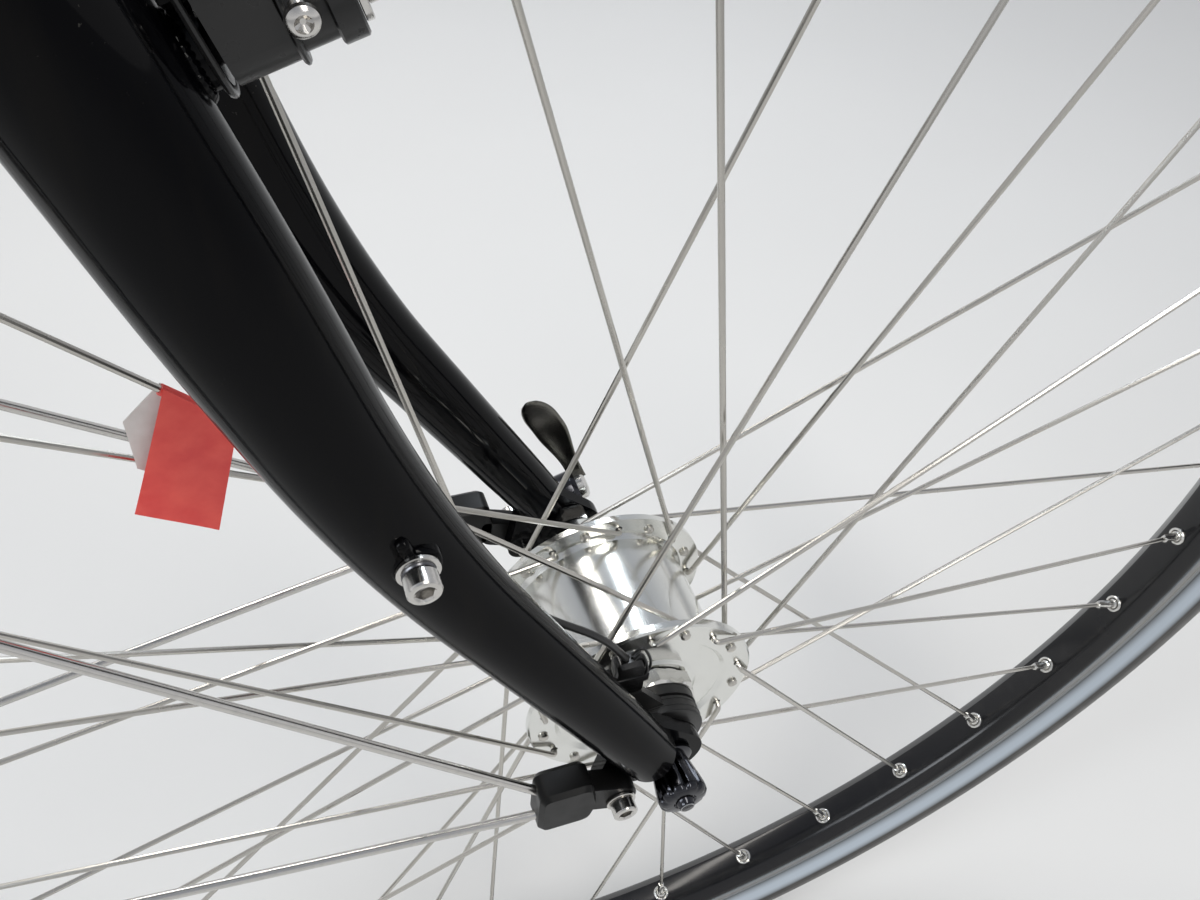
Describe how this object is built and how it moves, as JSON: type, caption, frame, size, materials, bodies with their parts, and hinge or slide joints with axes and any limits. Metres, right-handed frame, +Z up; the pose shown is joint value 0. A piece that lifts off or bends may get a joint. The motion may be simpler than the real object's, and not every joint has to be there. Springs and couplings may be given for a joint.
{
  "type": "trekking bicycle fork and front wheel",
  "caption": "Black trekking bicycle fork with its spoked dynamo wheel, mudguard, rim brake arms, headlamp and quick release.",
  "frame": {"origin": "on the steerer's axis, at the top of the crown race", "axes": "+X forward, +Y to the rider's left, +Z up, with the fork leaning back by 19.5 degrees as on the bicycle"},
  "size_m": [0.7085, 0.1528, 0.9104],
  "materials": {
    "gloss_black": "gloss black paint",
    "frame_black": "satin black paint",
    "satin_black": "satin black",
    "rim_black": "satin black anodised",
    "hub_aluminium": "polished",
    "dark_aluminium": "dark anodised, worn",
    "stainless": "drawn stainless steel",
    "steel": "zinc plated",
    "black_plastic": "fine grain",
    "guard_plastic": "black, slightly worn",
    "flap_rubber": "matt",
    "pad_rubber": "matt",
    "wire_rubber": "smooth",
    "tyre_rubber": "ribbed sidewall, light dust",
    "lens": "clear",
    "red_tape": "red tape, glossy"
  },
  "bodies": {
    "fork": {"steerer": "frame_black", "crown_race": "steel", "fork_blade_right": "gloss_black", "fork_blade_left": "gloss_black", "blade_screw_right": "stainless", "blade_screw_left": "stainless", "brake_arm_right": "satin_black", "brake_arm_left": "satin_black", "brake_pad_right": "pad_rubber", "brake_pad_left": "pad_rubber", "pad_post_right": "steel", "pad_post_left": "steel", "arm_bolt_right": "steel", "arm_bolt_left": "steel", "hub_axle": "steel", "hub_nut_right": "stainless", "hub_nut_left": "stainless", "dynamo_connector": "black_plastic", "dynamo_plug": "black_plastic", "skewer": "steel", "release_nut": "dark_aluminium", "release_seat": "stainless", "release_lever": "dark_aluminium", "mudguard": "guard_plastic", "mudguard_flap": "flap_rubber", "stay_bridges": "stainless", "stays_right": "stainless", "stays_left": "stainless", "stay_clip_right": "black_plastic", "stay_clip_left": "black_plastic", "clip_bolt_right": "stainless", "clip_bolt_left": "stainless", "crown_bolt": "stainless", "guard_bracket": "stainless", "lamp_bracket": "steel", "lamp_body": "black_plastic", "lamp_lens": "lens", "lamp_wire": "wire_rubber"},
    "wheel": {"hub_shell": "hub_aluminium", "spokes_right": "stainless", "spokes_left": "stainless", "rim": "rim_black", "tyre": "tyre_rubber", "valve": "steel", "spoke_flag": "red_tape"}
  },
  "joints": [
    {"name": "wheel_spin", "type": "hinge", "parent": "fork", "child": "wheel", "pos_m": [0.16785, 0, -0.36914], "axis": [0, 1, 0], "continuous": true}
  ]
}
